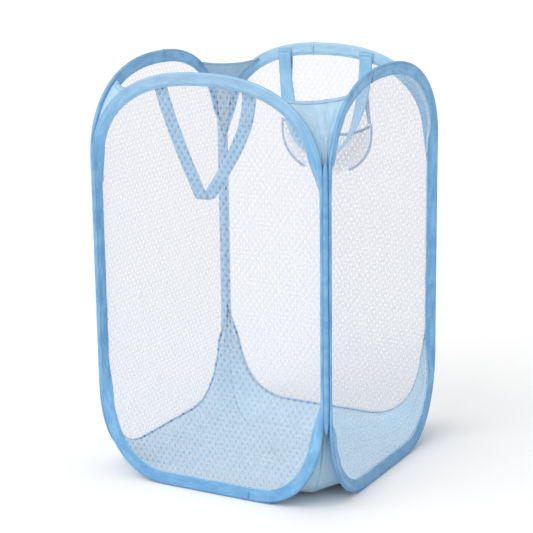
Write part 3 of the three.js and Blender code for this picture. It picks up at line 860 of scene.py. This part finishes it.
class HamperTapes(bpy.types.Operator):
    """Makes the tape folded over each hoop: a roll round the wire and a sewn leg on the net"""

    bl_idname = "hamper.tapes"
    bl_label = "Make the tapes"

    def execute(self, context):
        tape = context.scene.hamper_tape
        for turns, side in enumerate(SIDES):
            goes = (side + "_panel", "binding_tape", [side + "_binding"], turns)
            bm = bent_grid(HOOP_STATIONS, 16, HOOP_LENGTH, FULL_TURN * tape.rim_radius, rim_place)
            bmesh.ops.recalc_face_normals(bm, faces=bm.faces)
            make_piece(bm, side + "_tape_rim", "rim_" + side, *goes)
            bm = bent_grid(HOOP_STATIONS, 9, HOOP_LENGTH, tape.width - WIRE_INSET, leg_place, leg_wall)
            make_piece(bm, side + "_tape_leg", "tape_" + side, *goes, 2 * tape.rim_radius, WIRE_DEPTH)
            bm = bent_grid(2, 40, JOIN_WIDTH, 2 * tape.width, join_place(JOINS[side]))
            bmesh.ops.recalc_face_normals(bm, faces=bm.faces)
            finish = "join" if side == "front" else "rim_" + side
            make_piece(bm, side + "_tape_join", finish, *goes, 0.3 * MM)
        return {"FINISHED"}


class HamperNets(bpy.types.Operator):
    """Makes the four net panels, with their rounded holes cut through"""

    bl_idname = "hamper.nets"
    bl_label = "Make the nets"

    def execute(self, context):
        net = context.scene.hamper_net
        flat, under_tape = (2 * HALF_HOOP, HEIGHT), 12 * MM
        for turns, side in enumerate(SIDES):
            bm = net_cells(*flat, lambda x, z: inside_hoop(x, z + HEIGHT / 2, under_tape), net)
            area = area_of(bm)
            for v in bm.verts:
                v.co.z += HEIGHT / 2
                rim, outward, inset = nearest_station(v.co.x, v.co.z)
                v.co = settle(v.co.x, v.co.z, NET_DEPTH, pucker(rim, -outward, inset))
            piece = make_piece(
                bm, side + "_net", "net", side + "_panel", "mesh_net", [side + "_mesh"], turns,
                net.thickness, NET_DEPTH,
            )
        return {"FINISHED"}


def floor_place(turns):
    """The places of one quarter of the floor, which rises to its sewn edges and into the corners."""
    inset = bpy.context.scene.hamper_cloth.floor_inset
    clearance, wave, behind = 0.5 * MM, 3 * MM, -0.6 * MM

    def place(s, t):
        along, out = (2 * s - 1) * t * FLOOR_EDGE, t * FLOOR_EDGE
        spot = quarter(turns) @ Vector((along, -out, 0))
        ramp = smooth_step(FLOOR_RISES, FLOOR_EDGE, out)
        ramp_beside = smooth_step(FLOOR_RISES, FLOOR_EDGE, abs(along))
        web = edge_height(max(0, abs(along) + out - FLOOR_EDGE), inset) - inset
        folds = noise.noise(spot * 22) * noise.noise(spot * 9 + Vector((0, 0, 4)))
        lift = clearance + inset * ramp + web + wave * abs(folds) * (1 - t**6)
        here = settle(along, lift, behind)
        beside = settle(math.copysign(out, along), lift, behind)
        side = math.copysign(1, along)
        across = along + ramp * (here.x - along) - side * ramp_beside * (beside.y + HINGE)
        outwards = out + ramp_beside * (abs(beside.x) - out) - ramp * (here.y + HINGE)
        return Vector((across, -outwards, lift))

    return place


class HamperFloor(bpy.types.Operator):
    """Makes the cloth floor, one quarter to a panel, with a web up into each corner"""

    bl_idname = "hamper.floor"
    bl_label = "Make the floor"

    def execute(self, context):
        thickness = context.scene.hamper_cloth.thickness
        flat = (2 * FLOOR_EDGE, FLOOR_EDGE)
        tip = (FLOOR_EDGE + WEB_REACH) / math.sqrt(2)
        for turns, side in enumerate(SIDES):
            bm = bent_grid(64, 40, *flat, floor_place(turns))
            for sign in (-1, 1):
                away = Vector((sign, -1, 0)).normalized()
                cut = {"geom": [*bm.verts, *bm.edges, *bm.faces], "clear_outer": True}
                bmesh.ops.bisect_plane(bm, plane_co=away * tip, plane_no=away, **cut)
            area = area_of(bm)
            replaced = ["floor_panel"] if side == "front" else []
            piece = make_piece(
                bm, side + "_floor_cloth", "floor", side + "_panel", "floor_cloth", replaced, turns,
                thickness, CLOTH_FOLD_DEPTH,
            )
        return {"FINISHED"}


def gusset_place(layer, turns):
    """The places of one layer of a gusset. Above the hem line the cloth is folded over behind itself."""
    thickness = bpy.context.scene.hamper_cloth.thickness
    offset = (0.5 - layer) * 2 * thickness
    folded_over = 2 * thickness if layer == 0 else -2 * thickness
    under_tape, under_tape_low, narrows_from = 5 * MM, 13 * MM, GUSSET_TOP - 40 * MM
    droop, wrinkle, depth = 5 * MM, 2.4 * MM, 0.6 * MM
    outwards = Vector((1, -1, 0)).normalized()

    def place(s, t):
        down = t * (GUSSET_TOP - GUSSET_TIP + GUSSET_HEM) - GUSSET_HEM
        z = GUSSET_TOP - abs(down)
        inset = mix(under_tape, under_tape_low, smooth_step(narrows_from, GUSSET_TIP, z))
        here = settle(reach_at(z, inset), z, depth)
        there = Vector((-here.y, -here.x, z))
        slack = 4 * s * (1 - s)
        sag = droop * slack * (z - GUSSET_TIP) / (GUSSET_TOP - GUSSET_TIP)
        pull = ripple(9 * s, z * 26, 2.0 + turns)
        pull += 0.7 * ripple(16 * s + z * 60, z * 48, 5.0 + turns)
        proud = offset + pull * slack * wrinkle + (folded_over if down < 0 else 0)
        return here.lerp(there, s) + outwards * proud - Vector((0, 0, sag))

    return place


class HamperGussets(bpy.types.Operator):
    """Makes the hemmed gusset in each top corner, as two layers that ride on a panel each"""

    bl_idname = "hamper.gussets"
    bl_label = "Make the gussets"

    def execute(self, context):
        thickness = context.scene.hamper_cloth.thickness
        tall = GUSSET_TOP - GUSSET_TIP + GUSSET_HEM
        width, pattern_width = 92 * MM, 90 * MM
        for name, first, second, turns in CORNERS:
            for layer, side in enumerate((first, second)):
                bm = bent_grid(24, 40, pattern_width, tall, gusset_place(layer, turns))
                area = area_of(bm)
                replaced = [name + "_gusset"] if layer == 0 else []
                piece = make_piece(
                    bm, f"{name}_gusset_on_{side}", "gusset", side + "_panel", "gusset_cloth", replaced,
                    turns, thickness, CLOTH_FOLD_DEPTH,
                )
        return {"FINISHED"}


def seam_place(s, t):
    """The roll of sewn tape that fills a corner between its two rims, gathered, with blunt ends."""
    tape = bpy.context.scene.hamper_tape
    gap, gathers_to_metre, blunt_ends = 0.2 * MM, 70, 9
    up = mix(SEAM_FROM, SEAM_UNTIL, s)
    apart = math.hypot(reach_at(up, WIRE_INSET) - HINGE, WIRE_DEPTH)
    cosine, sine = math.cos(FULL_TURN * t), math.sin(FULL_TURN * t)
    gathers = ripple(up * gathers_to_metre, cosine, sine)
    ends = math.sqrt(min(1, (1 - abs(2 * s - 1)) * blunt_ends))
    radius = (apart - roll_radius(up) - gap) * ends * (0.95 + 0.05 * gathers)
    towards_rims = 0.6 * tape.seam_radius * (min(0, cosine) - 0.1) * ends
    place = Matrix.Rotation(math.pi / 4, 2) @ Vector((radius * cosine + towards_rims, radius * sine))
    return Vector((HINGE + place.x, -HINGE + place.y, up))


class HamperSeams(bpy.types.Operator):
    """Makes the roll of sewn tape between the two rims of each corner"""

    bl_idname = "hamper.seams"
    bl_label = "Make the corner seams"

    def execute(self, context):
        for name, first, _, turns in CORNERS:
            bm = bent_grid(300, 14, SEAM_UNTIL - SEAM_FROM, 24 * MM, seam_place)
            close_ends(bm)
            make_piece(bm, name + "_thread", "seam", first + "_panel", "seam_thread", [name + "_seam"], turns)
        return {"FINISHED"}


def folded_line(s):
    """The front handle: down one arm, over the fold and up the other. The arms bow a little."""
    left_bow, right_bow, apart, drift = 4 * MM, 15 * MM, 3.5 * MM, 2 * MM
    down = 1 - abs(2 * s - 1)
    side = -1 if s < 0.5 else 1
    bow = (left_bow if side < 0 else right_bow) * 4 * down * (1 - down) * (1.35 - 0.7 * down)
    across = side * (PATCH_MIDDLE * (1 - down) + bow + apart * down)
    return Vector((across - drift * down, mix(HANDLE_HIGH.z, HANDLE_FOOT, down)))


def round_line(s):
    """The back handle: one soft loop that rounds at the bottom."""
    angle, shorter = math.pi * (1 + s), 7 * MM
    across = math.copysign(abs(math.cos(angle)) ** 0.72, math.cos(angle))
    drop = (HANDLE_HIGH.z - HANDLE_FOOT - shorter) * abs(math.sin(angle)) ** 1.1
    return Vector((PATCH_MIDDLE * across, HANDLE_HIGH.z - drop))


def second_arm(s):
    """How far the second arm of the front handle lies behind the first."""
    return 1.5 * MM * smooth_step(0.47, 0.53, s) * (1 - smooth_step(0.8, 0.99, s))


def loop_twist(s):
    """How far the back handle turns about its line."""
    return 1.15 * smooth_step(0.06, 0.4, s) * (1 - smooth_step(0.6, 0.94, s))


def ribbon_piece(face, line, twist, fold, turns):
    """A ribbon along line(share) in a panel's plane. twist(share) turns it about its line, and
    fold(share), if given, is how far it lies behind the panel's inner side."""
    handle = bpy.context.scene.hamper_handle
    behind_net = 2.4 * MM

    def place(s, t):
        at = line(s)
        along = (line(min(1, s + 0.002)) - line(max(0, s - 0.002))).normalized()
        side = Vector((1, 0)) if fold else Vector((along.y, -along.x))
        offset = (t - 0.5) * handle.width
        turn = twist(s)
        flat = at + side * offset * math.cos(turn)
        hung = settle(flat.x, flat.y, NET_DEPTH).y + behind_net
        inwards = offset * math.sin(turn) + handle.width / 2 * abs(math.sin(turn))
        if fold:
            inwards += fold(s)
        return Vector((flat.x, max(-(HINGE + HANDLE_DEPTH), hung) + inwards, flat.y))

    length = 340 * MM
    bm = bent_grid(110, 6, length, handle.width, place)
    name, node = face + "_ribbon", face + "_handle"
    make_piece(bm, name, "ribbon", node, "handle_ribbon", [node], turns, handle.thickness, HANDLE_DEPTH)


def end_place(side):
    """The places of a handle's sewn end, to the right or left, with its corners worn round."""
    half_width, half_height = (PATCH_HIGH.x - PATCH_LOW.x) / 2, (PATCH_HIGH.z - PATCH_LOW.z) / 2

    def place(s, t):
        u, v = 2 * s - 1, 2 * t - 1
        corner = 1 - 0.06 * (u * v) ** 8
        up = (PATCH_LOW.z + PATCH_HIGH.z) / 2 + v * corner * half_height
        return Vector((side * (PATCH_MIDDLE + u * corner * half_width), -(HINGE + PATCH_DEPTH), up))

    return place


class HamperHandles(bpy.types.Operator):
    """Makes the two hanging ribbon handles and their sewn ends"""

    bl_idname = "hamper.handles"
    bl_label = "Make the handles"

    def execute(self, context):
        ribbon_piece("front", folded_line, lambda s: 0.0, second_arm, 0)
        ribbon_piece("back", round_line, loop_twist, None, 2)
        width, thickness, tall = PATCH_HIGH - PATCH_LOW
        for turns, face in ((0, "front"), (2, "back")):
            for hand in ("right", "left"):
                node = f"{face}_handle_{hand}_patch"
                low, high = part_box(node)
                side = math.copysign(1, (quarter(turns) @ (low + high)).x)
                bm = bent_grid(20, 12, width, tall, end_place(side))
                bmesh.ops.recalc_face_normals(bm, faces=bm.faces)
                name = f"{face}_handle_{hand}_sewn_end"
                make_piece(bm, name, "patch", face + "_panel", "handle_ribbon", [node], turns, thickness)
        return {"FINISHED"}


def pouch_share(x, z):
    """How far out a place of the pouch lies: 0 at the middle of its mouth, and 1 on its outline."""
    across, down = abs(x) / POUCH_HALF, max(0, MOUTH - z) / POUCH_DROP
    return (across**POUCH_POWER + down**POUCH_POWER) ** (1 / POUCH_POWER)


def mouth_height(x):
    """How high the sagging mouth is, this far from its middle."""
    return MOUTH - MOUTH_SAG * (1 - min(1, abs(x) / POUCH_HALF) ** 2)


def on_pouch(x, z, lift=0.0):
    """Where a place of the flat pouch comes to lie on its bulge."""
    slack = max(0, 1 - pouch_share(x, z) ** 2)
    place = settle(x, z, POUCH_DEPTH)
    return Vector((place.x, place.y - POUCH_BULGE * slack - lift, place.z))


def make_pouch(net):
    """The net pouch itself, cut out as it lies flat."""
    past_mouth, lowered = 2 * MM, MOUTH - POUCH_DROP / 2

    def keeps(x, z):
        up = z + lowered
        return pouch_share(x, up) < POUCH_EDGE_SHARE and up < mouth_height(x) + past_mouth

    bm = net_cells(2 * POUCH_HALF, 2 * POUCH_DROP, keeps, net)
    area = area_of(bm)
    for v in bm.verts:
        v.co = on_pouch(v.co.x, v.co.z + lowered)
    goes = ("back_panel", "mesh_net", ["pocket_mesh"], 2, net.thickness, NET_DEPTH)
    pouch = make_piece(bm, "pocket_pouch", "pouch", *goes)


def mouth_place(s, t):
    """The binding along the pocket's mouth."""
    half_height, half_depth, lifted, wave = 2.2 * MM, 0.9 * MM, 0.3 * MM, 0.6 * MM
    x = POUCH_HALF * (2 * s - 1)
    angle = FULL_TURN * t
    up = mouth_height(x) + half_height * math.sin(angle) + wave * ripple(s * 30, 0, 0)
    base = on_pouch(x, mouth_height(x), lifted)
    return Vector((base.x, base.y - half_depth * math.cos(angle), up))


def edge_place(side):
    """The places of the binding down one side of the pouch, from its mouth to near its foot."""
    half_width, half_depth, lifted, until_angle = 1.8 * MM, 0.8 * MM, 0.5 * MM, 1.12

    def place(s, t):
        around = s * until_angle
        x = side * POUCH_HALF * math.cos(around) ** (2 / POUCH_POWER) * POUCH_EDGE_SHARE
        z = MOUTH - POUCH_DROP * math.sin(around) ** (2 / POUCH_POWER) * POUCH_EDGE_SHARE
        angle = FULL_TURN * t
        outward = Vector((x / POUCH_HALF, (z - MOUTH) / POUCH_DROP)).normalized()
        outward *= half_width * math.sin(angle)
        base = on_pouch(x, z, lifted)
        return Vector((base.x + outward.x, base.y - half_depth * math.cos(angle), base.z + outward.y))

    return place


def hanger_place(side):
    """The places of a tape that narrows and twists on its way from the rim to the pocket's corner."""
    middle = (POCKET_TAPE_HIGH.x + POCKET_TAPE_LOW.x) / 2
    past_rim, past_mouth, from_corner, lifted = 2 * MM, 1 * MM, 5 * MM, 0.6 * MM

    def place(s, t):
        up = mix(POCKET_TAPE_HIGH.z + past_rim, MOUTH + past_mouth, s)
        wide = (POCKET_TAPE_HIGH.x - POCKET_TAPE_LOW.x) * mix(1.1, 0.55, s)
        twist = 1.2 * s
        across = mix(middle, POUCH_HALF - from_corner, s**2) + (t - 0.5) * wide * math.cos(twist)
        base = settle(side * across, up, POUCH_DEPTH + lifted)
        return base - Vector((0, t * wide * math.sin(twist), 0))

    return place


class HamperPocket(bpy.types.Operator):
    """Makes the net pocket on the back panel, its binding and the two tapes that hold it up"""

    bl_idname = "hamper.pocket"
    bl_label = "Make the pocket"

    def execute(self, context):
        make_pouch(context.scene.hamper_net)
        bindings = {
            "pocket_mouth_binding": (mouth_place, 90, 2 * POUCH_HALF, ["pocket_binding"]),
            "pocket_right_edge": (edge_place(-1), 40, 100 * MM, []),
            "pocket_left_edge": (edge_place(1), 40, 100 * MM, []),
        }
        for name, (place, steps, length, replaced) in bindings.items():
            bm = bent_grid(steps, 10, length, 10 * MM, place)
            close_ends(bm)
            make_piece(bm, name, "rim_back", "back_panel", "binding_tape", replaced, 2, 0.0, NET_DEPTH)
        width, length = POCKET_TAPE_HIGH.x - POCKET_TAPE_LOW.x, POCKET_TAPE_HIGH.z - MOUTH
        for hand, side in (("left", 1), ("right", -1)):
            bm = bent_grid(24, 4, length, width, hanger_place(side))
            goes = ("back_panel", "binding_tape", [f"pocket_{hand}_tape"], 2, 0.8 * MM, NET_DEPTH)
            make_piece(bm, f"pocket_{hand}_hanger", "ribbon", *goes)
        return {"FINISHED"}


class HamperWires(bpy.types.Operator):
    """Gives the wire hoops and their sleeves their metal"""

    bl_idname = "hamper.wires"
    bl_label = "Finish the wires"

    def execute(self, context):
        for side in SIDES:
            for node, finish in ((side + "_hoop", "wire"), (side + "_ferrule", "ferrule")):
                mesh = frame["nodes"][node].data
                mesh.materials.clear()
                mesh.materials.append(MATERIALS[finish])
        return {"FINISHED"}


def seen_directly(tree):
    """The kinds of ray, and 1 for what the camera sees, itself or in a reflection, or else 0."""
    rays = add_node(tree, "LightPath").outputs
    return rays, calculate(tree, "MAXIMUM", rays["Is Camera Ray"], rays["Is Glossy Ray"])


def make_floor():
    """The studio floor: white to the camera and in reflections, and a little darker to other light."""
    half_size, lowered = 12, 0.4 * MM
    bm = bmesh.new()
    bmesh.ops.create_grid(bm, x_segments=1, y_segments=1, size=half_size)
    bmesh.ops.translate(bm, verts=bm.verts, vec=(0, 0, -lowered))
    mesh = bpy.data.meshes.new("studio_floor")
    bm.to_mesh(mesh)
    bm.free()
    floor = add_object("studio_floor", mesh)
    paint, tree, shader = new_material("studio floor")
    _, direct = seen_directly(tree)
    base = blend_colours(tree, direct, (0.75, 0.75, 0.76, 1), (1, 1, 1, 1))
    set_inputs(tree, shader, {"Base Color": base, "Roughness": 1.0, "Specular IOR Level": 0.0})
    mesh.materials.append(paint)


def make_lights(scene):
    """A white sky, dimmed to the stage's strength where it isn't seen directly, and an overhead lamp."""
    stage = scene.hamper_stage
    world = bpy.data.worlds.new("studio")
    scene.world = world
    world.use_nodes = True
    sky = world.node_tree
    rays, direct = seen_directly(sky)
    direct = calculate(sky, "MAXIMUM", direct, rays["Is Transmission Ray"])
    strength = calculate(sky, "MULTIPLY_ADD", direct, 1 - stage.sky, stage.sky)
    set_inputs(sky, sky.nodes["Background"], {"Strength": strength, "Color": (1, 1, 1, 1)})
    lamp = bpy.data.lights.new("overhead_lamp", "SUN")
    lamp.energy = stage.lamp
    lamp.angle = 0.9
    lamp_object = add_object("overhead_lamp", lamp)
    lamp_object.rotation_euler = (math.radians(46), 0, math.radians(-24))


def make_camera(scene):
    """The camera, at the photograph's angle."""
    stage = scene.hamper_stage
    right = Vector((math.cos(stage.azimuth), math.sin(stage.azimuth), 0))
    ahead = Vector((right.y, -right.x, 0))
    back = ahead * math.cos(stage.elevation) + Vector((0, 0, math.sin(stage.elevation)))
    rolled = right * math.cos(stage.roll) + back.cross(right) * math.sin(stage.roll)
    lens = bpy.data.cameras.new("camera")
    lens.lens = stage.focal
    lens.sensor_width = 36
    lens.clip_end = 100
    camera = add_object("camera", lens)
    turned = Matrix((rolled, back.cross(rolled), back)).transposed().to_4x4()
    camera.matrix_world = Matrix.Translation(AIM + back * stage.distance) @ turned
    scene.camera = camera


class HamperStageSet(bpy.types.Operator):
    """Sets up the floor, the light and the camera"""

    bl_idname = "hamper.stage_set"
    bl_label = "Set the stage"

    def execute(self, context):
        make_floor()
        make_lights(context.scene)
        make_camera(context.scene)
        context.scene.view_settings.view_transform = "Standard"
        return {"FINISHED"}


class HamperPanel(bpy.types.Panel):
    """Lists the sizes, the colours and the steps"""

    bl_idname = "VIEW3D_PT_hamper"
    bl_label = "Laundry hamper"
    bl_space_type = "VIEW_3D"
    bl_region_type = "UI"
    bl_category = "Hamper"

    def draw(self, context):
        for name, group in GROUPS.items():
            box = self.layout.box()
            box.label(text=group.__doc__)
            for key in group.__annotations__:
                box.prop(getattr(context.scene, name), key)
        for operator in OPERATORS:
            self.layout.operator(operator.bl_idname)


OPERATORS = (
    HamperTapes,
    HamperNets,
    HamperFloor,
    HamperGussets,
    HamperSeams,
    HamperHandles,
    HamperPocket,
    HamperWires,
    HamperStageSet,
)


def register():
    for item in (*GROUPS.values(), *OPERATORS, HamperPanel):
        bpy.utils.register_class(item)
    for name, group in GROUPS.items():
        setattr(bpy.types.Scene, name, bpy.props.PointerProperty(type=group))


def unregister():
    for name in GROUPS:
        delattr(bpy.types.Scene, name)
    for item in reversed((*GROUPS.values(), *OPERATORS, HamperPanel)):
        bpy.utils.unregister_class(item)


def main():
    register()
    make_materials(bpy.context.scene)
    for operator in OPERATORS:
        group, name = operator.bl_idname.split(".")
        getattr(getattr(bpy.ops, group), name)()


if __name__ == "__main__":
    main()
